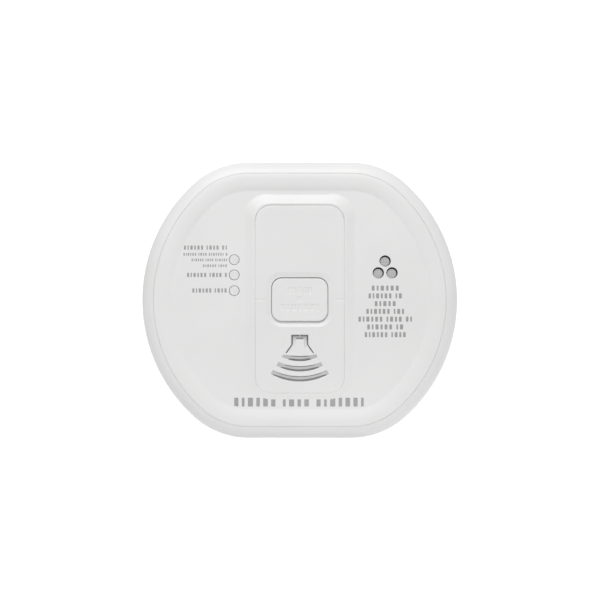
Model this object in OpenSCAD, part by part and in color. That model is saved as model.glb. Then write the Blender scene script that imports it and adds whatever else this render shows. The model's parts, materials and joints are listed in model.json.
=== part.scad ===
// Carbon monoxide alarm that stands on its flat base or hangs on a twist-on wall plate.
// Modules are drawn in the face frame: X right, Y up, Z out of the wall towards the room.
// stand() then sets each one upright: the front faces -Y and the base rests on Z = 0.

/* [Body] */
// Width across the two round sides
body_width = 120; // [118:1:122]
// Height between the top and bottom flats
body_height = 105; // [104:1:106]
// Depth from the wall to the top edge of the raised column
body_depth = 44; // [44:1:48]
// Radius of the four corners between the flats and the round sides
corner_radius = 31; // [30:1:32]
// Thickness of the outer housing's side wall
wall = 2.2; // [2:0.1:2.4]

/* [Front cover] */
// Distance from the outline to the groove round the front cover
groove_inset = 4.35; // [4.1:0.05:4.5]
// Width of that groove
groove_width = 0.4; // [0.3:0.05:0.5]
// Distance from the outline to the highest line of the front
crown_inset = 6.7; // [6.5:0.1:6.9]
// Distance from the outline to the flat field
field_inset = 11; // [10.6:0.1:11.4]
// Depth of the flat field below the crown
dish_depth = 1.1; // [0.8:0.1:1.4]
// Thickness of the front cover at the field
cover_thickness = 2; // [1.8:0.1:2.2]

/* [Raised column] */
// Width of the centre panel
column_width = 33.8; // [33:0.2:35]
// Height of the centre panel's top edge above the middle
column_top = 36; // [36:0.2:37]
// Height of its bottom edge, below the middle
column_bottom = -35.4; // [-36:0.2:-35]
// Corner radius of the centre panel
column_corner = 6; // [5:0.5:7]
// How far the column stands above the field at its top
rise_top = 1.9; // [1.7:0.1:2.1]
// How far it stands above the field at its bottom
rise_bottom = 0.35; // [0.2:0.05:0.5]

/* [Test button] */
// Width of the button cap
button_width = 21.4; // [20:0.2:22]
// Height of the button cap
button_height = 16.6; // [16:0.2:17.4]
// How far the button travels when it is pressed
button_travel = 0.8; // [0.4:0.1:0.8]
// Gap between the cap and its opening
button_gap = 0.3; // [0.3:0.05:0.4]

/* [Indicators and gas holes] */
// Radius of each indicator lens
lens_radius = 1.85; // [1.8:0.05:2.1]
// Distance of the lenses to the left of the middle
lens_offset = 24.9; // [24.5:0.1:25.1]
// Radius of each of the three gas holes
gas_hole_radius = 2.13; // [1.8:0.01:2.2]

/* [Wall plate] */
// Radius of the round wall plate
plate_radius = 46; // [45:0.5:46]
// Distance between two opposite wall screws
screw_spacing = 60; // [56:1:62]
// Radius of the wall-screw holes
screw_hole_radius = 2.25; // [1.8:0.05:2.5]
// Angle that the alarm turns to come off its plate
twist_angle = 15; // [12:1:15]

/* [Electronics] */
// Radius of the lithium cell
cell_radius = 8.5; // [7.5:0.1:8.5]
// Length of the lithium cell
cell_length = 33.5; // [30:0.5:34]
// Radius of the gas sensor
sensor_radius = 10; // [9:0.1:10]

/* [Hidden] */
$fn = 64;
// Outline: two side arcs about the middle, four corner arcs and two flats
side_radius = body_width / 2;
half_height = body_height / 2;
corner_y = half_height - corner_radius;
corner_x = sqrt(pow(side_radius - corner_radius, 2) - corner_y * corner_y);
tangent_angle = atan2(corner_y, corner_x);
side_steps = 20;
corner_steps = 8;

// Levels of the front, counted from the wall
field_z = body_depth - rise_top;
crown_z = field_z + dish_depth;
shoulder_height = 6;
cover_under_z = field_z - cover_thickness;
ledge_z = cover_under_z + 1.2;
ledge_thickness = 2;
ledge_inset = 8;
groove_angle = acos(1 - groove_inset / crown_inset);

// Levels of the back
wall_gap = 1;
back_edge_z = 1.6;
back_thickness = 2;
recess_radius = plate_radius + 1;
recess_wall = 2.2;
recess_z = 5.2;
floor_z = recess_z + 2.2;

// Circuit board and what stands on it
board_z = 18;
board_thickness = 1.6;
board_top = board_z + board_thickness;
board_inset = 11;
board_post_radius = 42.2;
board_post_angle = 58.6;
case_screw_radius = 52.8;
case_screw_angle = 12;

// Column
panel_gap = 0.15;
panel_z = cover_under_z + 0.8;
shelf_width = 2.2;
ramp_width = 4.2;
stake_radius = 0.7;
crease_width = 0.35;
crease_inner = 13.4;

// Button and its switch
button_corner = 3.8;
button_recess = 0.3;
button_dish = 0.4;
funnel_width = 2;
funnel_depth = 1;
flange_z = panel_z - 1.5;
guide_x = 8;
guide_y = 12.4;
guide_radius = 1.2;
switch_size = 6;
switch_height = 3.5;
plunger_top = board_top + switch_height + 0.9;

// Indicators: alarm, fault and power, from the top down
lens_y = [15.3, 9.5, 3.5];
lens_flange = 2.8;
pipe_end = 22.4;

// Gas holes and the sensor behind them
sensor_x = 32.45;
sensor_y = 11.8;
gas_hole_ring = 3;
filter_radius = 7;

// Sounder and its openings
sounder_y = -25;
sounder_radius = 15.2;
piezo_radius = 13.5;
piezo_z = 24;
wave_y = -8.7;
wave_radius = [13.6, 17.5, 21.3];
wave_angle = [27.5, 29, 30.2];
wave_width = 1.9;

// Wall plate: hooks of the bayonet, and the pin that works the power switch
plate_thickness = 2.2;
plate_rim_z = 4.6;
hook_radius = 36.2;
hook_stem = 2;
hook_reach = 4.8;
hook_half_angle = 4.5;
hook_gap = 0.4;
hook_head_z = floor_z + 0.35;
hook_top_z = hook_head_z + 1.8;
pin_circle = 15;
pin_radius = 1.5;
pin_top = 11.6;
pin_x = pin_circle * sin(twist_angle / 2);
pin_y = -pin_circle * cos(twist_angle / 2);
slider_z = 9.8;
power_switch_y = -22;

// Lithium cell
cell_x = -36.9;
cell_y = -6;
cell_z = board_top + 0.8 + cell_radius;

// ---------- shared geometry ----------

module stand() {
    translate([0, body_depth / 2, half_height]) rotate([90, 0, 0]) children();
}

// Points of an arc; the last one is left out when the next arc starts on it
function arc(x, y, r, from, to, steps, last = 1) =
    [for (i = [0 : steps - 1 + last])
        let (a = from + (to - from) * i / steps) [x + r * cos(a), y + r * sin(a)]];

// Outline of the alarm, moved inwards by inset
function outline(inset) = concat(
    arc(0, 0, side_radius - inset, -tangent_angle, tangent_angle, side_steps, 0),
    arc(corner_x, corner_y, corner_radius - inset, tangent_angle, 90, corner_steps),
    arc(-corner_x, corner_y, corner_radius - inset, 90, 180 - tangent_angle, corner_steps, 0),
    arc(0, 0, side_radius - inset, 180 - tangent_angle, 180 + tangent_angle, side_steps, 0),
    arc(-corner_x, -corner_y, corner_radius - inset, 180 + tangent_angle, 270, corner_steps),
    arc(corner_x, -corner_y, corner_radius - inset, 270, 360 - tangent_angle, corner_steps, 0));

// Rectangle with round corners, from its left, bottom, right and top edges
function round_box(left, bottom, right, top, r, steps = 6) = concat(
    arc(right - r, top - r, r, 0, 90, steps),
    arc(left + r, top - r, r, 90, 180, steps),
    arc(left + r, bottom + r, r, 180, 270, steps),
    arc(right - r, bottom + r, r, 270, 360, steps));

function centred_box(w, h, r) = round_box(-w / 2, -h / 2, w / 2, h / 2, r);

function column_box(grow, r) = round_box(-column_width / 2 - grow, column_bottom - grow,
    column_width / 2 + grow, column_top + grow, r);

// Height of the column's face at y
function column_z(y) = field_z + rise_bottom
    + (rise_top - rise_bottom) * (y - column_bottom) / (column_top - column_bottom);

// Height of the rounded shoulder at a distance from the outline
function shoulder_z(inset) = crown_z - shoulder_height
    + shoulder_height * sqrt(1 - pow(1 - inset / crown_inset, 2));

// Height of the dished slope, part = 0 at the crown and 1 at the field
function dish_z(part) = crown_z - dish_depth * part * part;

function level(points, z) = [for (p = points) [p.x, p.y, z]];

function ring_faces(n, rings, closed) =
    [for (k = [0 : rings - (closed ? 1 : 2)]) for (i = [0 : n - 1])
        [k * n + i, ((k + 1) % rings) * n + i,
            ((k + 1) % rings) * n + (i + 1) % n, k * n + (i + 1) % n]];

// Solid skinned over rings of equal length, closed by its first and last ring
module skin(rings) {
    n = len(rings[0]);
    polyhedron([for (r = rings) each r], concat(ring_faces(n, len(rings), false),
        [[for (i = [0 : n - 1]) i], [for (i = [n - 1 : -1 : 0]) (len(rings) - 1) * n + i]]));
}

// Ring of the same section all round the outline; profile holds [inset, z] points
module outline_ring(profile) {
    rings = [for (p = profile) level(outline(p[0]), p[1])];
    polyhedron([for (r = rings) each r], ring_faces(len(rings[0]), len(rings), true));
}

module slab(points, low, high) {
    translate([0, 0, low]) linear_extrude(high - low) polygon(points);
}

module peg(x, y, r, low, high) {
    translate([x, y, low]) cylinder(r = r, h = high - low);
}

module block(x, y, w, h, low, high) {
    translate([x - w / 2, y - h / 2, low]) cube([w, h, high - low]);
}

// Part of a ring about the middle, from one angle to another
module arc_wall(inner, outer, from, to, low, high) {
    rotate([0, 0, from]) rotate_extrude(angle = to - from)
        translate([inner, low]) square([outer - inner, high - low]);
}

module four_case_screws() {
    for (side = [0, 180]) for (turn = [-case_screw_angle, case_screw_angle])
        rotate([0, 0, side + turn]) translate([case_screw_radius, 0, 0]) children();
}

module four_board_posts() {
    for (k = [0 : 3])
        rotate([0, 0, board_post_angle + 90 * k]) translate([board_post_radius, 0, 0]) children();
}

// The heat stakes that hold the front cover to the housing's ledge
module cover_stake_places() {
    inset = 6;
    for (s = [-1, 1]) translate([0, s * (half_height - inset), 0]) children();
    for (s = [-1, 1]) translate([s * (side_radius - inset), 0, 0]) children();
    for (sx = [-1, 1]) for (sy = [-1, 1]) let (a = (90 + tangent_angle) / 2)
        translate([sx * (corner_x + (corner_radius - inset) * cos(a)),
            sy * (corner_y + (corner_radius - inset) * sin(a)), 0]) children();
}

module panel_stake_places() {
    for (s = [-1, 1]) for (y = [-27, 28])
        translate([s * (column_width / 2 - 0.9), y, 0]) children();
}

// ---------- shells ----------

module outer_housing() color("white") stand() difference() {
    union() {
        outline_ring(concat(
            [[0.8, wall_gap], [0, wall_gap + 0.8]],
            [for (i = [0 : 6]) let (d = crown_inset * (1 - cos(groove_angle * i / 6)))
                [d, shoulder_z(d)]],
            [[groove_inset, ledge_z], [ledge_inset, ledge_z],
                [ledge_inset, ledge_z - ledge_thickness], [wall, ledge_z - ledge_thickness],
                [wall, wall_gap]]));
        four_case_screws() {
            peg(0, 0, 3.2, back_edge_z + 4.6, cover_under_z - 0.5);
            block(4.1, 0, 3.2, 2, back_edge_z + 4.6, cover_under_z - 0.5);
        }
    }
    four_case_screws() peg(0, 0, 1.3, back_edge_z, 21);
    cover_stake_places() peg(0, 0, 1.2, ledge_z - ledge_thickness - 1, ledge_z + 1);
}

module front_cover() color("white") stand() difference() {
    union() {
        skin(concat(
            [level(outline(ledge_inset + 1.4), cover_under_z),
                level(outline(ledge_inset + 0.3), ledge_z),
                level(outline(groove_inset + groove_width), ledge_z)],
            [for (i = [0 : 2])
                let (d = groove_inset + groove_width
                    + (crown_inset - groove_inset - groove_width) * i / 2)
                level(outline(d), shoulder_z(d))],
            [for (part = [0.3, 0.55, 0.8])
                level(outline(crown_inset + (field_inset - crown_inset) * part), dish_z(part))],
            [level(outline(field_inset), field_z)]));
        column_ramp();
        translate([sensor_x, sensor_y, 0]) difference() {
            peg(0, 0, sensor_radius - 0.2, cover_under_z - 1.1, field_z - 1);
            peg(0, 0, filter_radius + 0.1, cover_under_z - 2, field_z);
        }
        cover_stake_places() {
            peg(0, 0, 1.1, ledge_z - ledge_thickness - 0.8, ledge_z + 0.4);
            peg(0, 0, 1.7, ledge_z - ledge_thickness - 0.8, ledge_z - ledge_thickness - 0.05);
        }
    }
    slab(column_box(panel_gap, column_corner), panel_z, body_depth + 1);
    slab(column_box(-shelf_width, column_corner - shelf_width), cover_under_z - 1, panel_z + 1);
    for (y = lens_y) peg(-lens_offset, y, lens_radius + 0.2, cover_under_z - 1, field_z + 1);
    gas_holes() peg(0, 0, gas_hole_radius, cover_under_z - 1, field_z + 1);
    peg(sensor_x, sensor_y, filter_radius + 0.1, cover_under_z - 2, field_z - 1.2);
    panel_stake_places() peg(0, 0, stake_radius + 0.1, cover_under_z - 1, panel_z + 1);
}

module gas_holes() {
    for (a = [90, 210, 330])
        translate([sensor_x + gas_hole_ring * cos(a), sensor_y + gas_hole_ring * sin(a), 0])
            children();
}

// Soft slopes that rise from the field to the edge of the centre panel
module column_ramp() {
    foot = round_box(-column_width / 2 - ramp_width, column_bottom - ramp_width / 2,
        column_width / 2 + ramp_width, column_top + ramp_width, column_corner + ramp_width / 2);
    brow = column_box(0.5, column_corner);
    skin([level(foot, field_z - 1), level(foot, field_z),
        [for (p = brow) [p.x, p.y, column_z(min(p.y, column_top))]]]);
}

module centre_panel() color("white") stand() difference() {
    union() {
        difference() {
            slab(column_box(0, column_corner), panel_z, body_depth + 1);
            above_column_face();
        }
        for (s = [-1, 1]) peg(s * guide_x, guide_y, guide_radius, panel_z - 7, panel_z + 0.5);
        panel_stake_places() peg(0, 0, stake_radius, cover_under_z - 0.4, panel_z + 0.5);
    }
    button_opening();
    sound_openings();
    for (s = [-1, 1]) block(s * (column_width / 2 + crease_inner) / 2, 0,
        column_width / 2 - crease_inner + 1, crease_width, column_z(0) - 0.3, body_depth);
}

// Everything above the sloping face of the column
module above_column_face() {
    tilt = atan((rise_top - rise_bottom) / (column_top - column_bottom));
    translate([0, 0, column_z(0)]) rotate([tilt, 0, 0]) translate([-50, -60, 0])
        cube([100, 120, 10]);
}

module button_opening() {
    face = column_z(0);
    slab(centred_box(button_width + 2 * button_gap, button_height + 2 * button_gap,
        button_corner + button_gap), panel_z - 1, body_depth + 1);
    skin([
        level(centred_box(button_width + 2 * button_gap, button_height + 2 * button_gap,
            button_corner + button_gap), face - funnel_depth),
        level(centred_box(button_width + 2 * funnel_width, button_height + 2 * funnel_width,
            button_corner + funnel_width), face + 0.1),
        level(centred_box(button_width + 2 * funnel_width, button_height + 2 * funnel_width,
            button_corner + funnel_width), body_depth + 1)]);
}

// Horn outline and three sound waves, all cut through
module sound_openings() {
    translate([0, 0, panel_z - 1]) linear_extrude(body_depth - panel_z + 2) {
        difference() {
            polygon([[-3.2, -13.2], [3.2, -13.2], [3.2, -17], [5.2, -20.1], [3.5, -20.4],
                [-3.5, -20.4], [-5.2, -20.1], [-3.2, -17]]);
            polygon([[-1.6, -15], [1.6, -15], [1.6, -17.3], [3.5, -21], [-3.5, -21],
                [-1.6, -17.3]]);
        }
        for (i = [0 : 2]) translate([0, wave_y]) intersection() {
            difference() {
                circle(wave_radius[i] + wave_width / 2);
                circle(wave_radius[i] - wave_width / 2);
            }
            wedge(wave_angle[i], wave_radius[i] * 1.4);
        }
    }
}

// Triangle with its point in the middle that opens downwards to half_angle on each side
module wedge(half_angle, reach) {
    polygon([[0, 0], [-reach * sin(half_angle), -reach * cos(half_angle)],
        [0, -reach * 1.3], [reach * sin(half_angle), -reach * cos(half_angle)]]);
}

module dust_screen() color("dimgray") stand()
    slab(round_box(-13, -32, 13, -12, 2), panel_z - 0.4, panel_z);

module back_cover() color("white") stand() difference() {
    union() {
        slab(outline(wall + 0.2), back_edge_z, back_edge_z + back_thickness);
        peg(0, 0, recess_radius + recess_wall, back_edge_z, floor_z);
        four_case_screws() peg(0, 0, 4.2, back_edge_z, 6);
        four_board_posts() peg(0, 0, 3.2, floor_z - 1, board_z);
    }
    peg(0, 0, recess_radius, 0, recess_z);
    four_case_screws() {
        peg(0, 0, 3.1, 0, 3.9);
        peg(0, 0, 1.6, 0, 7);
    }
    four_board_posts() peg(0, 0, 1.15, floor_z + 1, board_z + 1);
    for (k = [0 : 3]) rotate([0, 0, 45 + 90 * k]) bayonet_slot();
    clear = asin((pin_radius + 0.4) / pin_circle);
    arc_wall(pin_circle - pin_radius - 0.4, pin_circle + pin_radius + 0.4,
        -90 - twist_angle / 2 - clear, -90 + twist_angle / 2 + clear, recess_z - 1, floor_z + 1);
}

// Narrow track for a hook's stem, and at its end the mouth that lets the head through
module bayonet_slot() {
    arc_wall(hook_radius - hook_gap, hook_radius + hook_stem + hook_gap,
        -twist_angle - hook_half_angle - 1, hook_half_angle + 1, recess_z - 1, floor_z + 1);
    arc_wall(hook_radius - hook_gap, hook_radius + hook_reach + hook_gap,
        -twist_angle - hook_half_angle - 1, -twist_angle + hook_half_angle + 1,
        recess_z - 1, floor_z + 1);
}

module rating_label() color("silver") stand()
    slab(round_box(-20, 3, 20, 25, 2), recess_z - 0.15, recess_z);

module mounting_plate() color("white") stand() difference() {
    union() {
        peg(0, 0, plate_radius, 0, plate_thickness);
        difference() {
            peg(0, 0, plate_radius, plate_thickness - 1, plate_rim_z);
            peg(0, 0, plate_radius - 2, 0, plate_rim_z + 1);
        }
        for (k = [0 : 3]) rotate([0, 0, 45 + 90 * k]) {
            arc_wall(hook_radius, hook_radius + hook_stem, -hook_half_angle, hook_half_angle,
                plate_thickness - 1, hook_top_z);
            arc_wall(hook_radius, hook_radius + hook_reach, -hook_half_angle, hook_half_angle,
                hook_head_z, hook_top_z);
        }
        peg(pin_x, pin_y, pin_radius, plate_thickness - 1, pin_top);
        peg(pin_x, pin_y, pin_radius + 1.2, plate_thickness - 1, recess_z - 0.6);
    }
    for (s = [-1, 1]) peg(s * screw_spacing / 2, 0, screw_hole_radius, -1, plate_thickness + 1);
    for (s = [-1, 1]) {
        for (e = [-2.25, 2.25])
            peg(0, s * screw_spacing / 2 + e, screw_hole_radius, -1, plate_thickness + 1);
        block(0, s * screw_spacing / 2, 2 * screw_hole_radius, 4.5, -1, plate_thickness + 1);
    }
}

// ---------- button and its switch ----------

module test_button() color("white") stand() {
    face = column_z(0) - button_recess;
    difference() {
        union() {
            skin([level(centred_box(button_width, button_height, button_corner), flange_z),
                level(centred_box(button_width, button_height, button_corner), face - 0.7),
                level(centred_box(button_width - 0.5, button_height - 0.5, button_corner),
                    face - 0.2),
                level(centred_box(button_width - 1.4, button_height - 1.4, button_corner), face)]);
            slab(centred_box(button_width + 2.8, button_height + 2.6, button_corner),
                flange_z, panel_z - 0.15);
            for (s = [-1, 1]) block(s * guide_x, guide_y - 1.4, 4.8, 7, flange_z, panel_z - 0.15);
        }
        bowl = (button_height * button_height / 4) / (2 * button_dish);
        translate([0, 0, face - button_dish + bowl]) sphere(r = bowl, $fn = 128);
        for (s = [-1, 1]) peg(s * guide_x, guide_y, guide_radius + 0.1, 0, body_depth);
    }
    block(0, 0, 8, 1.6, plunger_top + 1, flange_z + 0.5);
    block(0, 0, 1.6, 8, plunger_top + 1, flange_z + 0.5);
    peg(0, 0, 2.2, plunger_top + 0.05, plunger_top + 1.5);
}

module switch_body() color("dimgray") stand() difference() {
    block(0, 0, switch_size, switch_size, board_top, board_top + switch_height);
    peg(0, 0, 1.75, board_top + switch_height - 0.8 - button_travel,
        board_top + switch_height + 1);
}

module switch_plunger() color("saddlebrown") stand()
    peg(0, 0, 1.65, plunger_top - 1.6, plunger_top);

// ---------- indicators ----------

module light_pipe(i) color("ghostwhite") stand() translate([-lens_offset, lens_y[i], 0]) {
    peg(0, 0, lens_radius, cover_under_z - 1.5, field_z - 0.02);
    peg(0, 0, lens_flange, cover_under_z - 1.5, cover_under_z - 0.1);
    peg(0, 0, lens_radius - 0.5, pipe_end, cover_under_z - 1);
}

module led(i, tint) color(tint) stand() translate([-lens_offset, lens_y[i], 0]) {
    block(0, 0, 3, 2.6, board_top, board_top + 1.5);
    peg(0, 0, 1.1, board_top + 1, board_top + 2.2);
}

// ---------- gas sensor ----------

module gas_filter() color("gray") stand()
    peg(sensor_x, sensor_y, filter_radius, field_z - 1.75, field_z - 1.25);

module sensor_gasket() color("black") stand() translate([sensor_x, sensor_y, 0]) difference() {
    peg(0, 0, sensor_radius - 0.5, cover_under_z - 3, cover_under_z - 1.1);
    peg(0, 0, filter_radius - 0.5, cover_under_z - 4, cover_under_z);
}

module co_sensor() color("silver") stand() translate([sensor_x, sensor_y, 0]) difference() {
    union() {
        peg(0, 0, sensor_radius - 0.4, board_top + 3.5, cover_under_z - 4);
        peg(0, 0, sensor_radius, cover_under_z - 7, cover_under_z - 3.4);
        peg(0, 0, sensor_radius - 1, cover_under_z - 4, cover_under_z - 3);
    }
    peg(0, 0, 2.5, cover_under_z - 3.4, cover_under_z);
    peg(0, 0, 0.5, cover_under_z - 6, cover_under_z);
}

module sensor_base() color("black") stand() translate([sensor_x, sensor_y, 0]) {
    peg(0, 0, sensor_radius, board_top + 0.5, board_top + 3.5);
    for (a = [30, 150, 270]) rotate([0, 0, a]) peg(7.5, 0, 1, board_top, board_top + 1);
}

module sensor_pins() color("gold") stand() translate([sensor_x, sensor_y, 0])
    for (a = [90, 210, 330]) rotate([0, 0, a]) peg(5, 0, 0.5, board_z - 1.4, board_top + 0.5);

// ---------- sounder ----------

module sounder_body() color("black") stand() translate([0, sounder_y, 0]) difference() {
    peg(0, 0, sounder_radius, board_top, 27);
    peg(0, 0, piezo_radius - 1.1, board_top + 1.2, 28);
    peg(0, 0, piezo_radius + 0.1, piezo_z, 28);
    for (s = [-1, 1]) peg(s * 6, 0, 0.8, board_top - 1, board_top + 2);
}

module piezo_disc() color("goldenrod") stand() translate([0, sounder_y, 0]) {
    peg(0, 0, piezo_radius, piezo_z, piezo_z + 0.3);
    peg(0, 0, piezo_radius - 3.5, piezo_z + 0.2, piezo_z + 0.5);
}

module sounder_cap() color("black") stand() translate([0, sounder_y, 0]) difference() {
    union() {
        peg(0, 0, sounder_radius, 27, 29);
        peg(0, 0, piezo_radius, piezo_z + 0.3, 27.5);
        peg(0, 0, 4.5, 28, 33);
    }
    peg(0, 0, piezo_radius - 1.2, piezo_z - 1, 27.6);
    peg(0, 0, 3, 27, 34);
}

module sounder_contacts() color("gold") stand() translate([0, sounder_y, 0])
    for (s = [-1, 1]) peg(s * 6, 0, 0.6, board_top, piezo_z - 0.05);

// ---------- circuit board ----------

module circuit_board() color("darkgreen") stand() difference() {
    slab(outline(board_inset), board_z, board_top);
    four_board_posts() peg(0, 0, 1.5, board_z - 1, board_top + 1);
    for (a = [90, 210, 330]) translate([sensor_x, sensor_y, 0]) rotate([0, 0, a])
        peg(5, 0, 0.6, board_z - 1, board_top + 1);
}

module microcontroller() color("black") stand() translate([8, 26, 0]) {
    block(0, 0, 7, 7, board_top + 0.15, board_top + 1.5);
    for (turn = [0 : 90 : 270]) rotate([0, 0, turn]) for (i = [-3.5 : 3.5])
        block(i * 0.8, 4, 0.35, 1.2, board_top, board_top + 0.6);
}

module crystal() color("silver") stand()
    slab(round_box(-4, 24, -1, 30, 1.4), board_top, board_top + 2.2);

module boost_coil() color("dimgray") stand() translate([25, -12, 0]) {
    block(0, 0, 9, 9, board_top, board_top + 1);
    peg(0, 0, 2.5, board_top + 0.5, board_top + 8);
    peg(0, 0, 4.2, board_top + 1, board_top + 2);
    peg(0, 0, 4.2, board_top + 7, board_top + 8);
    peg(0, 0, 3.6, board_top + 1.5, board_top + 7.5);
}

module capacitors() color("midnightblue") stand()
    for (place = [[22.6, -23.5], [28.4, -29.5]]) translate([place.x, place.y, 0]) {
        peg(0, 0, 3.4, board_top, board_top + 1);
        peg(0, 0, 3.1, board_top + 0.5, board_top + 11);
    }

module chip_parts() color("tan") stand()
    for (column = [0 : 5]) for (row = [0 : 1])
        block(-18 + 4.2 * column, 33 + 3.4 * row, 2, 1.3, board_top, board_top + 0.6);

// ---------- power ----------

module lithium_cell() color("steelblue") stand() translate([cell_x, cell_y, cell_z])
    rotate([-90, 0, 0]) {
        translate([0, 0, -cell_length / 2]) cylinder(r = cell_radius, h = cell_length - 1);
        translate([0, 0, -cell_length / 2]) cylinder(r = 3, h = cell_length);
    }

module cell_tabs() color("silver") stand()
    for (s = [-1, 1]) block(cell_x, cell_y + s * (cell_length / 2 + 0.2), 5, 0.3,
        board_top, cell_z + 3);

module cell_cradle() color("black") stand() difference() {
    union() {
        block(cell_x, cell_y, 12, 26, board_top, board_top + 0.6);
        for (s = [-1, 1]) block(cell_x, cell_y + s * 10, 15, 4, board_top, board_top + 5);
    }
    translate([cell_x, cell_y - 20, cell_z]) rotate([-90, 0, 0])
        cylinder(r = cell_radius + 0.15, h = 40);
}

module cell_pad() color("gray") stand()
    block(cell_x, cell_y, 10, 24, cell_z + cell_radius + 0.1, cover_under_z - 0.1);

module power_switch() color("silver") stand() difference() {
    block(0, power_switch_y, 14, 8, board_z - 4.8, board_z);
    block(0, power_switch_y, 9, 4.6, board_z - 3.4, board_z - 1.2);
    block(0, power_switch_y, 7.8, 3, board_z - 6, board_z - 3);
}

module power_slider() color("black") stand() difference() {
    union() {
        block(pin_x, -18.4, 6.8, 12.4, slider_z, slider_z + 2.4);
        block(pin_x, power_switch_y, 3.2, 2.4, slider_z + 1, board_z - 3);
        block(pin_x, power_switch_y, 4.4, 4, board_z - 3.2, board_z - 1.6);
    }
    block(pin_x, -14.95, 2 * pin_radius + 0.3, 2 * pin_radius + 0.8, slider_z - 1, slider_z + 3);
}

// ---------- fasteners ----------

module case_screws() color("gray") stand() four_case_screws() {
    difference() {
        peg(0, 0, 2.8, 2, 3.9);
        block(0, 0, 3, 0.7, 1, 2.9);
        block(0, 0, 0.7, 3, 1, 2.9);
    }
    peg(0, 0, 1.25, 3.5, 20);
}

module board_screws() color("gray") stand() four_board_posts() {
    difference() {
        peg(0, 0, 2.4, board_top, board_top + 1.6);
        block(0, 0, 2.6, 0.6, board_top + 0.8, board_top + 2);
        block(0, 0, 0.6, 2.6, board_top + 0.8, board_top + 2);
    }
    peg(0, 0, 1.1, board_z - 7, board_top + 0.5);
}

outer_housing();
front_cover();
centre_panel();
test_button();
light_pipe(0);  // light_pipe_alarm
light_pipe(1);  // light_pipe_fault
light_pipe(2);  // light_pipe_power
led(0, "red");  // led_alarm
led(1, "gold");  // led_fault
led(2, "green");  // led_power
gas_filter();
sensor_gasket();
co_sensor();
sensor_base();
sensor_pins();
dust_screen();
sounder_cap();
piezo_disc();
sounder_body();
sounder_contacts();
switch_body();
switch_plunger();
circuit_board();
microcontroller();
crystal();
boost_coil();
capacitors();
chip_parts();
lithium_cell();
cell_tabs();
cell_cradle();
cell_pad();
power_switch();
power_slider();
back_cover();
rating_label();
case_screws();
board_screws();
mounting_plate();
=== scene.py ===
import json
import math

import bmesh
import bpy
import numpy as np
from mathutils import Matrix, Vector

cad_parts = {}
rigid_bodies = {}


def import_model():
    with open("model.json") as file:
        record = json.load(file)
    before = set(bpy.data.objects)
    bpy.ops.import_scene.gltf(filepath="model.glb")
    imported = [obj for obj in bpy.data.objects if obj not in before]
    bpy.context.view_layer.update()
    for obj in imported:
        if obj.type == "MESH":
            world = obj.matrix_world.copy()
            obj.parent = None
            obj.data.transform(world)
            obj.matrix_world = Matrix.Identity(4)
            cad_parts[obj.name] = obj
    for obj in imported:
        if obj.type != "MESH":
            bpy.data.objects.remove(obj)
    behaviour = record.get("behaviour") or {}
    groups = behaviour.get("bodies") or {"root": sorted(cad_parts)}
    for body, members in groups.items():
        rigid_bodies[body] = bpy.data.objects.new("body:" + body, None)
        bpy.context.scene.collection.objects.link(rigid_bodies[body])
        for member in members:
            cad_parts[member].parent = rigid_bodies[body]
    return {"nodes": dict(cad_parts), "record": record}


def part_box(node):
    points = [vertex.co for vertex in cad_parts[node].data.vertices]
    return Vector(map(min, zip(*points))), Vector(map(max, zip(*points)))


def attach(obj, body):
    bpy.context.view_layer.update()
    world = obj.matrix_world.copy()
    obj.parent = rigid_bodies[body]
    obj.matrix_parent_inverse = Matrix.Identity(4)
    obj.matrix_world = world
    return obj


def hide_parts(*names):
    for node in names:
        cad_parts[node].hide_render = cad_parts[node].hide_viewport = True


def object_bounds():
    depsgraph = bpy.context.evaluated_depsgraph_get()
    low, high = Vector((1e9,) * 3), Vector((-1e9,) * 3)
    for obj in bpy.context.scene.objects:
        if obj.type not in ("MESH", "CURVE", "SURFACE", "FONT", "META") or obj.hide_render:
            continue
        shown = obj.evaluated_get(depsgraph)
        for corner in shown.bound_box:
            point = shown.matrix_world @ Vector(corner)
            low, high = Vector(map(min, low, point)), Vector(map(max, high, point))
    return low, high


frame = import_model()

# The face frame is used for all shapes: millimetres, x right, y up, z out of the wall, with
# x = y = 0 at the middle of the face and z = 0 on the wall. place() turns it into the row frame.
cad_low, cad_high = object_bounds()
MM = 0.001
WIDTH, DEPTH, HEIGHT = [round((cad_high[i] - cad_low[i]) / MM, 3) for i in range(3)]
HALF_HEIGHT = HEIGHT / 2

# Outline: two side arcs about the middle, four corner arcs, two flats
SIDE_R = WIDTH / 2
CORNER_R = 31.0
CORNER_Y = HALF_HEIGHT - CORNER_R
CORNER_X = math.sqrt((SIDE_R - CORNER_R) ** 2 - CORNER_Y**2)
TANGENT = math.atan2(CORNER_Y, CORNER_X)
WALL = 2.2

# Levels and insets of the front
RISE_TOP, RISE_BOTTOM = 1.9, 0.35
DISH = 1.1
FIELD_Z = DEPTH - RISE_TOP
CROWN_Z = FIELD_Z + DISH
SHOULDER = 6.0
GROOVE = 4.35
CROWN_INSET, FIELD_INSET = 6.7, 11.0
UNDER_Z = FIELD_Z - 2.0
LEDGE_Z = UNDER_Z + 1.2
LEDGE_INSET = 8.0
PANEL_Z = UNDER_Z + 0.8

# Column and button
COLUMN = (-16.9, -35.4, 16.9, 36.0)
COLUMN_R = 6.0
BUTTON_W, BUTTON_H, BUTTON_R = 21.3, 16.5, 3.9
BUTTON_GAP, BUTTON_Y, OPENING_Y = 0.17, 0.08, 0.13
FUNNEL, FUNNEL_DEPTH, FUNNEL_TILT, FUNNEL_LIP = 2.25, 0.7, 0.036, 0.12
FLANGE_GROW, FLANGE_THICK = (2.8, 2.6), 1.5

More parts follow.
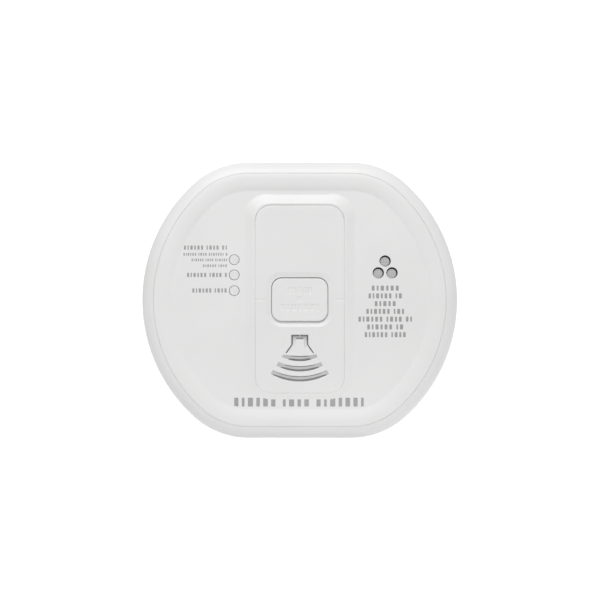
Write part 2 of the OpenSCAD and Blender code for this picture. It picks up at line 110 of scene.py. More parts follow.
# Seams: radius of the lips on both sides, gap between them, depth of the visible notch. The
# column's seam has its finest lips on the upper sides, and at the top wider ones on the panel
# than on the cover.
SEAM_LIP, SEAM_GAP, SEAM_DEPTH = 0.13, 0.03, 0.3
GROOVE_LIP, PANEL_SIDE_LIP, PANEL_TOP_LIP, COVER_TOP_LIP = 0.19, 0.06, 0.56, 0.34

# Lip of the pockets in the column; angles of the points on a small rounded lip, in radians
POCKET_LIP = 0.12
LIP_ANGLES = (0.5, 1.0, 1.5)

# Lenses; the three gas holes on a ring, and the filter behind them
LENSES = {"alarm": 15.3, "fault": 9.5, "power": 3.5}
LENS_X, LENS_R = -24.9, 1.82
GAS = (32.45, 11.8)
GAS_RING, GAS_R = 3.0, 2.13
FILTER_R, FILTER_Z = 7.0, (UNDER_Z + 0.25, UNDER_Z + 0.75)

# Sound waves: height of their common centre and width. For each wave: middle radius, half angle
# of its pocket, of its upper gap and of its lower gap, and how much narrower its ends are.
WAVE_Y, WAVE_WIDTH = -8.7, 2.05
WAVES = ((13.6, 27.5, 16.0, 17.5, 0.9), (17.5, 28.3, 20.0, 23.0, 0.45),
         (21.3, 29.6, 24.0, 27.5, 0.3))

# Horn: top and foot of its channel, and the channel's outline
HORN_TOP, HORN_FOOT = -13.2, -20.9
HORN_OUTER = [(3.25, -17.0), (3.25, HORN_TOP), (-3.25, HORN_TOP), (-3.25, -17.0)]
HORN = [(-1.55, -17.4), (-1.55, -15.1), (1.55, -15.1), (1.55, -17.4), (3.4, -20.6),
        (5.6, -20.3), *HORN_OUTER, (-5.6, -20.3), (-3.4, -20.6)]

# The cutters of the gaps through the panel end this far below its face, inside the pockets
GAP_TOP = 0.1

# Camera: part of the picture's width that the body fills, distance from the middle, how far the
# camera stands below it, and its shift
FILL, CAMERA_DISTANCE, CAMERA_DROP, CAMERA_SHIFT = 0.525, 1.6, 0.038, (0.0004, -0.0003)

# Light: radiance of the surround at right angles to its slope, the slope along x, y, z, the white
# that the camera sees, and power and place of the key light and of the light on the table
SURROUND_LEVEL, SURROUND_SLOPE, SEEN_WHITE = 0.737, (0.116, 0.166, -0.234), 1.2
KEY_POWER, KEY_PLACE = 4.6, (-0.12, -0.50, 0.72)
TABLE_POWER, TABLE_PLACE = 0.0056, (0, -0.045, 0.0005)


# ---------- mesh tools ----------

def place(points):
    """Face-frame millimetres to row-frame metres."""
    p = np.asarray(points, float).reshape(-1, 3)
    return np.column_stack([p[:, 0], DEPTH / 2 - p[:, 2], p[:, 1] + HALF_HEIGHT]) * MM


def make_object(name, mesh, sharp=40):
    """Object from a mesh in the face frame, smooth except at edges over `sharp` degrees."""
    co = np.empty(len(mesh.vertices) * 3)
    mesh.vertices.foreach_get("co", co)
    mesh.vertices.foreach_set("co", place(co).ravel())
    mesh.update()
    mesh.polygons.foreach_set("use_smooth", [True] * len(mesh.polygons))
    mesh.set_sharp_from_angle(angle=math.radians(sharp))
    obj = bpy.data.objects.new(name, mesh)
    bpy.context.scene.collection.objects.link(obj)
    return obj


def outward(mesh):
    """Turns the faces of closed shells outwards, as seen after place() as well."""
    bm = bmesh.new()
    bm.from_mesh(mesh)
    bmesh.ops.recalc_face_normals(bm, faces=bm.faces)
    bm.to_mesh(mesh)
    bm.free()
    return mesh


def skin_mesh(name, rings, closed=False):
    """Mesh over rings of equal length; closed joins the last ring to the first, else both ends
    are capped."""
    rings = [np.asarray(r, float) for r in rings]
    n, m = len(rings[0]), len(rings)
    faces = []
    for k in range(m if closed else m - 1):
        a, b = k * n, ((k + 1) % m) * n
        faces += [(a + i, a + (i + 1) % n, b + (i + 1) % n, b + i) for i in range(n)]
    if not closed:
        faces += [tuple(range(n))[::-1], tuple(range((m - 1) * n, m * n))]
    mesh = bpy.data.meshes.new(name)
    mesh.from_pydata(np.vstack(rings).tolist(), [], faces)
    return outward(mesh)


def join_meshes(name, meshes):
    """One mesh from several; the pieces stay separate shells."""
    bm = bmesh.new()
    for m in meshes:
        bm.from_mesh(m)
    joined = bpy.data.meshes.new(name)
    bm.to_mesh(joined)
    bm.free()
    return joined


def cut(mesh, cutters):
    """mesh minus the cutters, by an exact boolean."""
    scene = bpy.context.scene.collection.objects
    body = bpy.data.objects.new("cut_body", mesh)
    tool = bpy.data.objects.new("cut_tool", join_meshes("cut_tool", cutters))
    scene.link(body)
    scene.link(tool)
    boolean = body.modifiers.new("cut", "BOOLEAN")
    boolean.operation, boolean.solver, boolean.object = "DIFFERENCE", "EXACT", tool
    bpy.context.view_layer.update()
    graph = bpy.context.evaluated_depsgraph_get()
    result = bpy.data.meshes.new_from_object(body.evaluated_get(graph))
    bpy.data.objects.remove(body)
    bpy.data.objects.remove(tool)
    return result


# ---------- outlines ----------

def station_table(side=96, corner=26, flat=20):
    """Centre, radius and direction of every point of the outline, counter-clockwise."""
    rows = []

    def arc(cx, cy, r, a, b, steps):
        for i in range(steps):
            t = a + (b - a) * i / steps
            rows.append((cx, cy, r, math.cos(t), math.sin(t)))

    def straight(x0, x1, cy, up):
        for i in range(flat):
            rows.append((x0 + (x1 - x0) * i / flat, cy, CORNER_R, 0.0, up))

    q = math.pi / 2
    arc(0, 0, SIDE_R, -TANGENT, TANGENT, side)
    arc(CORNER_X, CORNER_Y, CORNER_R, TANGENT, q, corner)
    straight(CORNER_X, -CORNER_X, CORNER_Y, 1.0)
    arc(-CORNER_X, CORNER_Y, CORNER_R, q, 2 * q - TANGENT, corner)
    arc(0, 0, SIDE_R, 2 * q - TANGENT, 2 * q + TANGENT, side)
    arc(-CORNER_X, -CORNER_Y, CORNER_R, 2 * q + TANGENT, 3 * q, corner)
    straight(-CORNER_X, CORNER_X, -CORNER_Y, -1.0)
    arc(CORNER_X, -CORNER_Y, CORNER_R, 3 * q, 4 * q - TANGENT, corner)
    return np.array(rows)


STATIONS = station_table()


def outline(inset):
    """Points of the body's outline moved inwards by `inset`."""
    centre, radius, direction = STATIONS[:, :2], STATIONS[:, 2:3], STATIONS[:, 3:5]
    return centre + (radius - inset) * direction


def level(points, z):
    """Ring from points of the face plane, at height z (one for all, or one for each)."""
    points = np.asarray(points, float)
    return np.column_stack([points, np.broadcast_to(z, len(points))])


def box_distance(p, box, r):
    """Signed distance of points to a rectangle with round corners."""
    left, bottom, right, top = box
    centre = np.array([(left + right) / 2, (bottom + top) / 2])
    half = np.array([(right - left) / 2, (top - bottom) / 2])
    q = np.abs(np.asarray(p, float) - centre) - half + r
    return np.hypot(*np.maximum(q, 0).T) + np.minimum(q.max(1), 0) - r


def along_rays(directions, box, r, grow=0.0):
    """Points where rays from the origin meet a round-cornered box grown by `grow`."""
    outside, halvings = 80.0, 40
    low, high = np.zeros(len(directions)), np.full(len(directions), outside)
    for _ in range(halvings):
        mid = (low + high) / 2
        inside = box_distance(directions * mid[:, None], box, r) < grow
        low, high = np.where(inside, mid, low), np.where(inside, high, mid)
    return directions * low[:, None]


def centred(w, h, y=0.0):
    """Box of width w and height h about (0, y), as left, bottom, right, top."""
    return (-w / 2, y - h / 2, w / 2, y + h / 2)


def unit(points):
    """Directions from the origin to the points."""
    return points / np.hypot(*points.T)[:, None]


def round_loop(box, r, spacing):
    """Evenly spaced points round a box with round corners."""
    left, bottom, right, top = box
    corners = [(right - r, top - r, 0), (left + r, top - r, 1),
               (left + r, bottom + r, 2), (right - r, bottom + r, 3)]
    steps = max(4, round(r * math.pi / 2 / spacing))
    raw = []
    for cx, cy, k in corners:
        for i in range(steps + 1):
            a = (k + i / steps) * math.pi / 2
            raw.append((cx + r * math.cos(a), cy + r * math.sin(a)))
    loop = []
    for a, b in zip(raw, raw[1:] + raw[:1]):
        count = max(1, round(math.dist(a, b) / spacing))
        loop += [(a[0] + (b[0] - a[0]) * i / count, a[1] + (b[1] - a[1]) * i / count)
                 for i in range(count)]
    return np.array(loop)


# ---------- heights of the face ----------

def column_z(y):
    """Level of the column's face at y."""
    _, bottom, _, top = COLUMN
    part = (np.minimum(y, top) - bottom) / (top - bottom)
    return FIELD_Z + RISE_BOTTOM + (RISE_TOP - RISE_BOTTOM) * part


def shoulder_z(inset):
    """Level of the rounded rim, from the side of the body up to the crown."""
    return CROWN_Z - SHOULDER + SHOULDER * np.sqrt(1 - (1 - inset / CROWN_INSET) ** 2)


def dish_z(inset, y):
    """Crown, dished slope and field, with a small radius where the slope meets the field.
    The slope is hollow all round, and nearly straight at the bottom."""
    blend = 0.1
    part = (inset - CROWN_INSET) / (FIELD_INSET - CROWN_INSET)
    power = np.interp(y, [-38, -20], [1.35, 2.0])
    slope = CROWN_Z - DISH * part**power
    return (slope + FIELD_Z + np.sqrt((slope - FIELD_Z) ** 2 + blend**2)) / 2


def soft_step(t, soft=0.16):
    """0 to 1 along a straight ramp with rounded ends."""
    t = np.clip(t, 0, 1)
    h = 1 / (1 - soft)
    low = h * t**2 / (2 * soft)
    high = 1 - h * (1 - t) ** 2 / (2 * soft)
    middle = h * (t - soft / 2)
    return np.where(t < soft, low, np.where(t > 1 - soft, high, middle))


def seam_lip(y, at_top):
    """Radius of a lip at the column's seam: finest on the upper sides, widest at the top."""
    return np.interp(y, [-12, 6, 27, 33], [SEAM_LIP, PANEL_SIDE_LIP, PANEL_SIDE_LIP, at_top])


def ramp_z(points):
    """Field, and the soft slopes that rise from it to the edge of the column. They are short at
    its foot and longest at its upper corners."""
    at_edge, longer_at_corner = 0.4, 0.28
    d = box_distance(points, COLUMN, COLUMN_R) - at_edge
    x, y = points.T
    _, bottom, right, top = COLUMN
    reach = np.interp(y, [bottom, bottom + 12, top - 6, top + 1], [2.2, 3.8, 3.9, 3.9])
    beyond_x = np.maximum(np.abs(x) - right + COLUMN_R, 0)
    beyond_y = np.maximum(y - top + COLUMN_R, 0)
    reach *= 1 + longer_at_corner * np.sin(2 * np.arctan2(beyond_y, beyond_x))
    rise = soft_step(1 - np.clip(d / reach, 0, 1))
    return FIELD_Z + (column_z(y) - FIELD_Z) * rise


# ---------- shells ----------

def fillet(start, end, corner, steps=5):
    """Quarter-round points from start to end about the meeting point `corner`."""
    points = []
    for i in range(steps + 1):
        t = i / steps * math.pi / 2
        points.append([c + (s - c) * (1 - math.sin(t)) + (e - c) * (1 - math.cos(t))
                       for s, e, c in zip(start, end, corner)])
    return points


def housing_mesh():
    """Shell of the housing. Its section runs up the side, over the rim, down into the groove,
    along the ledge under the cover and down the inside of the wall."""
    lip, back, round_out, round_in = GROOVE_LIP, 1.0, 1.0, 0.4
    ledge_low, undercut = LEDGE_Z - 2, GROOVE - 0.1
    side_steps, rim_steps = 6, 24
    rim_z = float(shoulder_z(GROOVE))
    notch_z = rim_z - SEAM_DEPTH
    side_z = CROWN_Z - SHOULDER
    angle = math.acos(1 - (GROOVE - lip) / CROWN_INSET)
    profile = fillet((round_out, back), (0, back + round_out), (0, back))
    profile += [[0, back + (side_z - back) * k / side_steps] for k in range(1, side_steps)]
    for i in range(rim_steps + 1):
        inset = CROWN_INSET * (1 - math.cos(angle * i / rim_steps))
        profile.append([inset, float(shoulder_z(inset))])
    profile += fillet((GROOVE - lip, float(shoulder_z(GROOVE - lip))),
                      (GROOVE, rim_z - lip), (GROOVE, rim_z))[1:]
    profile += [[GROOVE, notch_z], [undercut, notch_z - 0.1], [undercut, LEDGE_Z],
                [LEDGE_INSET, LEDGE_Z], [LEDGE_INSET, ledge_low], [WALL, ledge_low],
                [WALL, back + 0.5]]
    profile += fillet((WALL, back + round_in), (WALL - round_in, back), (WALL, back))[1:]
    return skin_mesh("housing", [level(outline(inset), z) for inset, z in profile], closed=True)


def circle(radius, segments=64):
    """Evenly spaced points round the origin."""
    turn = np.arange(segments) / segments * 2 * math.pi
    return np.column_stack([np.cos(turn), np.sin(turn)]) * radius


def hole_cutter(x, y, radius, low, top, flare):
    """Round cutter whose mouth opens out with a small radius at level `top`."""
    steps = 5
    profile = [(radius, low), (radius, top - flare)]
    for i in range(1, steps + 1):
        t = i / steps * math.pi / 2
        profile.append((radius + flare * (1 - math.cos(t)), top - flare + flare * math.sin(t)))
    profile.append((radius + flare, top + 2))
    return skin_mesh("hole", [level(circle(r) + (x, y), z) for r, z in profile])


def gas_places():
    """Middles of the three gas holes: one above, two below."""
    return [(GAS[0] + GAS_RING * math.cos(a), GAS[1] + GAS_RING * math.sin(a))
            for a in (math.pi / 2, math.pi * 7 / 6, math.pi * 11 / 6)]


def cover_edge():
    """Rings from under the cover round its outer edge, over the crown and down the dish."""
    edge, lip, crown_step, dish_step = GROOVE + SEAM_GAP, GROOVE_LIP, 0.25, 0.2
    edge_z = float(shoulder_z(edge))
    profile = [(LEDGE_INSET + 1.4, UNDER_Z), (LEDGE_INSET + 0.3, LEDGE_Z), (edge, LEDGE_Z)]
    profile += fillet((edge, edge_z - lip), (edge + lip, float(shoulder_z(edge + lip))),
                      (edge, edge_z))
    rings = [level(outline(inset), z) for inset, z in profile]
    for inset in np.arange(edge + 2 * lip, CROWN_INSET, crown_step):
        rings.append(level(outline(inset), shoulder_z(inset)))
    for inset in np.arange(CROWN_INSET, FIELD_INSET + 1.01, dish_step):
        ring = outline(inset)
        rings.append(level(ring, dish_z(inset, ring[:, 1])))
    return rings


def cover_field():
    """Rings over the field and up its slopes to the column, down at the column's seam, and back
    under the field. They lie closer together on the slopes."""
    slope_top, slope_foot, shelf_in = 0.45, 4.6, -2.2
    field_steps, slope_steps = 16, 24
    outer = outline(FIELD_INSET + 1.2)
    rays = unit(outer)
    inner = along_rays(rays, COLUMN, COLUMN_R, slope_top)
    foot = along_rays(rays, COLUMN, COLUMN_R, slope_foot)
    share = np.hypot(*(foot - outer).T) / np.hypot(*(inner - outer).T)
    parts = [share * k / field_steps for k in range(1, field_steps + 1)]
    parts += [share + (1 - share) * k / slope_steps for k in range(1, slope_steps + 1)]
    rings = []
    for part in parts:
        ring = outer + (inner - outer) * part[:, None]
        rings.append(level(ring, ramp_z(ring)))
    rings += seam_rings(rays, SEAM_GAP, seam_lip(inner[:, 1], COVER_TOP_LIP))
    wall = along_rays(rays, COLUMN, COLUMN_R, SEAM_GAP)
    shelf = along_rays(rays, COLUMN, COLUMN_R, shelf_in)
    return rings + [level(wall, PANEL_Z), level(shelf, PANEL_Z), level(shelf, UNDER_Z)]


def seam_rings(rays, gap, lip):
    """Rings down a lip at the column's seam: a positive lip lies outside the column's outline,
    on the cover, a negative one inside it, on the panel."""
    rings, steps = [], 5
    for i in range(1, steps + 1):
        a = i / steps * math.pi / 2
        points = along_rays(rays, COLUMN, COLUMN_R, gap + lip * (1 - math.sin(a)))
        rings.append(level(points, column_z(points[:, 1]) - np.abs(lip) * (1 - math.cos(a))))
    return rings


def cover_mesh():
    """Cover with its crown, dish and field, and with the holes for lenses, gas and filter."""
    low, lens_clearance, lens_flare, gas_flare = UNDER_Z - 1, 0.17, 0.1, 0.2
    mesh = skin_mesh("cover", cover_edge() + cover_field(), closed=True)
    holes = [hole_cutter(LENS_X, y, LENS_R + lens_clearance, low, FIELD_Z, lens_flare)
             for y in LENSES.values()]
    holes += [hole_cutter(x, y, GAS_R, low, FIELD_Z, gas_flare) for x, y in gas_places()]
    pocket = skin_mesh("pocket", [level(circle(FILTER_R + 0.1) + GAS, z)
                                  for z in (low, FILTER_Z[1] + 0.05)])
    return cut(cut(mesh, [pocket]), holes)


def offset_loop(loop, distance):
    """Counter-clockwise loop moved outwards by `distance`, with mitred corners."""
    loop = np.asarray(loop, float)
    before, after = unit(loop - np.roll(loop, 1, 0)), unit(np.roll(loop, -1, 0) - loop)
    normal_in = np.column_stack([before[:, 1], -before[:, 0]])
    normal_out = np.column_stack([after[:, 1], -after[:, 0]])
    mitre = unit(normal_in + normal_out)
    return loop + mitre * distance / np.maximum((mitre * normal_in).sum(1), 0.5)[:, None]


def pocket_cutter(loop, depth):
    """Pocket in the column's face; depth is a straight-line function of y."""
    loop, lip = np.asarray(loop, float), POCKET_LIP

    def ring(grow, drop):
        points = offset_loop(loop, grow)
        return level(points, column_z(points[:, 1]) - drop)

    rings = [level(loop, column_z(loop[:, 1]) - depth(loop[:, 1])), ring(0, lip)]
    rings += [ring(lip * (1 - math.cos(a)), lip * (1 - math.sin(a))) for a in LIP_ANGLES]
    rings.append(ring(lip, -2))
    return skin_mesh("pocket", rings)


def gap_cutter(loop):
    """Straight-sided gap from behind the panel up to a little below its face."""
    loop = np.asarray(loop, float)
    return skin_mesh("gap", [level(loop, PANEL_Z - 1),
                             level(loop, column_z(loop[:, 1]) - GAP_TOP)])


def wave_pocket(radius, half_angle, pinch):
    """Sunk arc with rounded lips. It is deepest in its middle, and narrower by `pinch` at its
    ends."""
    lip, shallow, deeper, steps, rings = POCKET_LIP, 1.1, 0.3, 48, []
    outer = radius + WAVE_WIDTH / 2
    for i in range(steps + 1):
        t = 2 * i / steps - 1
        inner = radius - WAVE_WIDTH / 2 + pinch * t**2
        a = math.radians(-90 + half_angle * t)
        depth = shallow + deeper * (1 - t**4)
        section = [(inner, depth), (outer, depth), (outer, lip)]
        section += [(outer + lip * (1 - math.cos(b)), lip * (1 - math.sin(b)))
                    for b in LIP_ANGLES]
        section += [(outer + lip, -1), (inner - lip, -1)]
        section += [(inner - lip * (1 - math.cos(b)), lip * (1 - math.sin(b)))
                    for b in LIP_ANGLES[::-1]]
        section.append((inner, lip))
        ring = []
        for r, drop in section:
            y = WAVE_Y + r * math.sin(a)
            ring.append((r * math.cos(a), y, float(column_z(y)) - drop))
        rings.append(ring)
    return skin_mesh("wave", rings)


def arc_loop(inner, outer, half_angle, bend=0.0, steps=31):
    """Outline of an arc strip below the waves' centre, counter-clockwise, slim at its ends.
    Its radius grows by `bend` towards the ends."""
    slimmer = 0.7
    part = np.linspace(-1, 1, steps + 1)
    angles = np.radians(-90 + half_angle * part)
    far = outer + bend * part**2
    near = far - (outer - inner) * (1 - slimmer * np.abs(part) ** 6)
    both = list(zip(far, angles)) + list(zip(near[::-1], angles[::-1]))
    return [(r * math.cos(a), WAVE_Y + r * math.sin(a)) for r, a in both]


def horn_gaps():
    """Thin gaps along the horn's outer edge, bridged at the middle of its top, and a slot under
    its top."""
    width, bridge, foot = 0.56, 0.25, (5.3, -20.05)
    side_x, top_y = 3.2, -13.25
    gaps = []
    for side in (1, -1):
        outer = [foot, (side_x, -17.0), (side_x, top_y), (bridge, top_y)]
        inner = [(bridge, top_y - width), (side_x - width, top_y - width),
                 (side_x - width, -16.9), (foot[0] - 0.3, foot[1] - 0.12)]
        loop = [(x * side, y) for x, y in outer + inner]
        gaps.append(loop if side > 0 else loop[::-1])
    gaps.append([(-1.4, -14.7), (1.4, -14.7), (1.4, -14.35), (-1.4, -14.35)])
    return gaps


def horn_depth(y):
    """Depth of the horn's channel: deepest at its top, nearly level with the face at its foot."""
    at_foot, more_at_top = 0.3, 1.5
    return at_foot + more_at_top * (y - HORN_FOOT) / (HORN_TOP - HORN_FOOT)


def wave_gaps():
    """Thin upper and wide lower gap of each wave, on both sides of the wave's middle radius."""
    far, upper_near, lower_near = 0.97, 0.72, 0.2
    upper = [arc_loop(radius - far, radius - upper_near, gap, pinch * (gap / half) ** 2)
             for radius, half, gap, _, pinch in WAVES]
    lower = [arc_loop(radius + lower_near, radius + far, gap) for radius, _, _, gap, _ in WAVES]
    return upper + lower


def panel_funnel(rays):
    """Rings up the wall of the button's opening, over its lip and up the funnel round it."""
    opening = centred(BUTTON_W + 2 * BUTTON_GAP, BUTTON_H + 2 * BUTTON_GAP, OPENING_Y)
    mouth_r = BUTTON_R + BUTTON_GAP
    bottom = float(column_z(0)) - FUNNEL_DEPTH
    steps, soft = 12, 0.15

    def floor_ring(grow, drop):
        points = along_rays(rays, opening, mouth_r, grow)
        return level(points, bottom + FUNNEL_TILT * points[:, 1] - drop)

    rings = [level(along_rays(rays, opening, mouth_r), PANEL_Z), floor_ring(0, FUNNEL_LIP)]
    rings += [floor_ring(FUNNEL_LIP * (1 - math.cos(a)), FUNNEL_LIP * (1 - math.sin(a)))
              for a in LIP_ANGLES]
    for k in range(1, steps + 1):
        t = k / steps
        points = along_rays(rays, opening, mouth_r, FUNNEL_LIP + (FUNNEL - BUTTON_GAP) * t)
        low, top = bottom + FUNNEL_TILT * points[:, 1], column_z(points[:, 1])
        rings.append(level(points, low + (top - low) * soft_step(np.full(len(top), t), soft)))
    return rings


def panel_face(rays, start):
    """Rings from the funnel over the column's face to its edge, and down the edge."""
    lip = seam_lip(along_rays(rays, COLUMN, COLUMN_R)[:, 1], PANEL_TOP_LIP)
    end = along_rays(rays, COLUMN, COLUMN_R, -lip)
    rings, steps = [], 24
    for k in range(1, steps + 1):
        points = start + (end - start) * k / steps
        rings.append(level(points, column_z(points[:, 1])))
    rings += seam_rings(rays, 0, -lip)
    rings.append(level(rings[-1][:, :2], PANEL_Z))
    return rings


def panel_mesh():
    """Column with its funnel. Its pockets and gaps are cut one after another, since cutters that
    touch one another spoil an exact boolean."""
    rays = unit(round_loop(COLUMN, COLUMN_R, 0.55))
    funnel = panel_funnel(rays)
    face = panel_face(rays, funnel[-1][:, :2])
    mesh = skin_mesh("panel", funnel + face, closed=True)
    waves = [wave_pocket(radius, half, pinch) for radius, half, _, _, pinch in WAVES]
    creases = [crease_cutter(side) for side in (-1, 1)]
    for cutters in ([pocket_cutter(HORN, horn_depth)], waves, creases):
        mesh = cut(mesh, cutters)
    for loop in horn_gaps() + wave_gaps():
        mesh = cut(mesh, [gap_cutter(loop)])
    return mesh


def crease_cutter(side):
    """Groove at mid height with a steep upper and a gentle lower wall."""
    depth, reach_up, reach_down, deepest_y = 0.2, 0.42, 0.45, 0.08
    inner_end, outer_end = 13.4 * side, 18.0 * side
    top = float(column_z(0)) + 0.01
    section = [(-reach_down, 0.0), (deepest_y, -depth), (reach_up, 0.0), (0.0, 1.0)]
    rings = [[(x, y, top + z) for y, z in section] for x in (inner_end, outer_end)]
    return skin_mesh("crease", rings)


def button_mesh():
    """Cap of the button: straight skirt, rounded edge, and a tilted, hollowed face."""
    sunk, edge, dish, tilt = 0.3, 0.6, 0.42, 0.03
    edge_steps, face_steps = 8, 65
    face, skirt_z = float(column_z(0)) - sunk, PANEL_Z - FLANGE_THICK
    box = centred(BUTTON_W, BUTTON_H, BUTTON_Y)
    rays = unit(round_loop(box, BUTTON_R, 0.22))
    rings = [level(along_rays(rays, box, BUTTON_R, 0), z) for z in (skirt_z, face - edge)]
    for i in range(1, edge_steps + 1):
        a = i / edge_steps * math.pi / 2
        rings.append(level(along_rays(rays, box, BUTTON_R, -edge * (1 - math.cos(a))),
                           face - edge + edge * math.sin(a)))
    start = rings[-1][:, :2]
    for k in range(1, face_steps):
        points = start * (1 - k / face_steps)
        rings.append(level(points, face - hollow(points, start, dish) - legend_depth(points)))
    for ring in rings[1:]:
        ring[:, 2] -= tilt * ring[:, 1]
    return skin_mesh("button", rings)


def hollow(points, rim, depth):
    """Shallow bowl, zero at the rim of the button and deepest in the middle."""
    t = np.hypot(*points.T) / np.hypot(*rim.T)
    return depth * (1 - t**2)


def legend_depth(points):
    """Sunk plain blocks in three rows, in place of a legend. Each row is given by left, right,
    middle and height, and holds a single word."""
    sunk, soft, corner = 0.18, 0.16, 0.2
    depth = np.zeros(len(points))
    for row in ((-4.4, 4.4, 3.6, 2.3), (-0.8, 0.8, 0.35, 1.7), (-7.2, 7.2, -2.9, 2.4)):
        for mark in word_boxes(*row, words=(20,)):
            d = np.clip(box_distance(points, mark, corner) / soft + 0.5, 0, 1)
            depth = np.maximum(depth, sunk * (1 - soft_step(d, 0.3)))
    return depth


def button_back():
    """Flange, crossed ribs and foot behind the button's cap."""
    flange = round_loop(centred(BUTTON_W + FLANGE_GROW[0], BUTTON_H + FLANGE_GROW[1]),
                        BUTTON_R, 0.8)
    parts = [skin_mesh("flange", [level(flange, PANEL_Z - FLANGE_THICK),
                                  level(flange, PANEL_Z - 0.15)])]
    foot_z, rib_length, rib_width = lowest_z("test_button"), 8, 1.6
    for w, h in ((rib_length, rib_width), (rib_width, rib_length)):
        rib = round_loop(centred(w, h), 0.5, 0.4)
        parts.append(skin_mesh("rib", [level(rib, foot_z + 1), level(rib, PANEL_Z - 1.2)]))
    foot = circle(2.2, 32)
    parts.append(skin_mesh("foot", [level(foot * 0.85, foot_z), level(foot, foot_z + 0.3),
                                    level(foot, foot_z + 1.45)]))
    return parts


def lowest_z(node):
    """Lowest z of a CAD node in the face frame."""
    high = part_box(node)[1]
    return DEPTH / 2 - high.y / MM


def lens_mesh(y):
    """Light pipe with a slightly domed end, a flange and a slim stem."""
    stem_r, flange_r, edge, edge_z = 1.5, 2.8, 0.15, FIELD_Z - 0.22
    flange_low, flange_top, dome_z, dome = UNDER_Z - 1.5, UNDER_Z - 0.1, FIELD_Z - 0.07, 0.06
    profile = [(stem_r, lowest_z("light_pipe_power")), (stem_r, flange_low),
               (flange_r, flange_low), (flange_r, flange_top), (LENS_R, flange_top),
               (LENS_R, edge_z)]
    profile += [(LENS_R - edge * (1 - math.cos(a)), edge_z + edge * math.sin(a))
                for a in (0.5, 1.0, 1.57)]
    profile += [(r * LENS_R, dome_z + dome * (1 - r**2)) for r in (0.75, 0.5, 0.2)]
    return skin_mesh("lens", [level(circle(r) + (LENS_X, y), z) for r, z in profile])


def filter_mesh():
    """Three membrane caps that stand up into the gas holes, a little off their middles."""
    cap_r, edge, shift, top, dome = 1.8, 0.2, (-0.13, -0.27), FILTER_Z[1] + 0.6, 0.08
    caps = []
    for x, y in gas_places():
        centre = (x + shift[0], y + shift[1])
        profile = [(cap_r, FILTER_Z[0] + 0.2), (cap_r, top - edge)]
        profile += [(cap_r - edge * (1 - math.cos(a)), top - edge + edge * math.sin(a))
                    for a in LIP_ANGLES]
        profile += [(r, top + dome * (1 - (r / (cap_r - edge)) ** 2)) for r in (1.1, 0.5)]
        caps.append(skin_mesh("cap", [level(circle(r) + centre, z) for r, z in profile]))
    return join_meshes("caps", caps)


def filter_seat_mesh():
    """Dark seat of the caps with a raised rim, on top of the foam ring. Its black is painted
    shade for the gap that the caps leave at their upper right.
    """
    low, high = FILTER_Z
    rim, chamfer, floor_z, middle_r = 0.7, 0.1, low + 0.2, 2.0
    profile = [(FILTER_R, low), (FILTER_R, high - chamfer), (FILTER_R - chamfer, high),
               (FILTER_R - rim, high), (FILTER_R - rim - 0.1, floor_z), (middle_r, floor_z)]
    return skin_mesh("seat", [level(circle(r) + GAS, z) for r, z in profile])


# ---------- print ----------

def word_boxes(left, right, y, cap, words=(6, 4, 7, 5)):
    """Plain upright blocks of uneven width, in word-like groups, in place of printed text.
    The row fills left to right exactly."""
    widths, gap, word_gap = (0.46, 0.30, 0.56, 0.38, 0.50), 0.36, 0.45
    spans, x, word, used = [], 0.0, 0, 0
    while True:
        wide = widths[len(spans) % len(widths)] * cap
        if x + wide > right - left and spans:
            break
        spans.append((x, x + wide))
        x += wide + gap * cap
        used += 1
        if used == words[word % len(words)]:
            x += word_gap * cap
            word, used = word + 1, 0
    stretch = (right - left) / spans[-1][1]
    return [(left + a * stretch, y - cap / 2, left + b * stretch, y + cap / 2) for a, b in spans]


def corner_loop(box, r, steps=4):
    """Round-cornered box with the same number of points whatever its size."""
    left, bottom, right, top = box
    corners = [(right - r, top - r), (left + r, top - r), (left + r, bottom + r),
               (right - r, bottom + r)]
    return np.array([(cx + r * math.cos((k + i / steps) * math.pi / 2),
                      cy + r * math.sin((k + i / steps) * math.pi / 2))
                     for k, (cx, cy) in enumerate(corners) for i in range(steps + 1)])


def mark_mesh(box):
    """One printed block: it stands a hair above the field and reaches a little into it."""
    corner, raised, buried = 0.2 * (box[2] - box[0]), 0.012, 0.04
    loop = corner_loop(box, corner)
    return skin_mesh("mark", [level(loop, FIELD_Z - buried), level(loop, FIELD_Z + raised)])


def print_mesh():
    """Rows beside the lenses, under the gas holes and along the bottom, each given by left,
    right, middle and height."""
    rows = [(-44.0, -27.7, 19.9, 1.6), (-44.2, -27.5, 17.35, 1.05), (-41.1, -27.6, 15.2, 1.0),
            (-36.8, -27.7, 13.0, 1.0), (-42.8, -27.7, 9.5, 1.6), (-40.8, -27.8, 3.6, 1.6)]
    rows += [(GAS[0] - w / 2, GAS[0] + w / 2, y, 1.9) for y, w in
             ((4.5, 10.2), (1.55, 12.6), (-1.4, 7.9), (-4.35, 14.3), (-7.3, 20.3),
              (-10.25, 13.6), (-13.2, 15.5))]
    rows.append((-24.9, 24.3, -38.8, 3.35))
    return join_meshes("print", [mark_mesh(box) for row in rows for box in word_boxes(*row)])


# ---------- materials ----------

def new_material(name):
    """New material with its nodes, links and main shader."""
    material = bpy.data.materials.new(name)
    material.use_nodes = True
    nodes, links = material.node_tree.nodes, material.node_tree.links
    shader = nodes["Principled BSDF"]
    return material, nodes, links, shader


def object_noise(nodes, links, scale, detail=3.0, roughness=0.55):
    """Noise fixed to the object, with the scale in features per metre."""
    coordinate = nodes.new("ShaderNodeTexCoord")
    noise = nodes.new("ShaderNodeTexNoise")
    noise.inputs["Scale"].default_value = scale
    noise.inputs["Detail"].default_value = detail
    noise.inputs["Roughness"].default_value = roughness
    links.new(coordinate.outputs["Object"], noise.inputs["Vector"])
    return noise


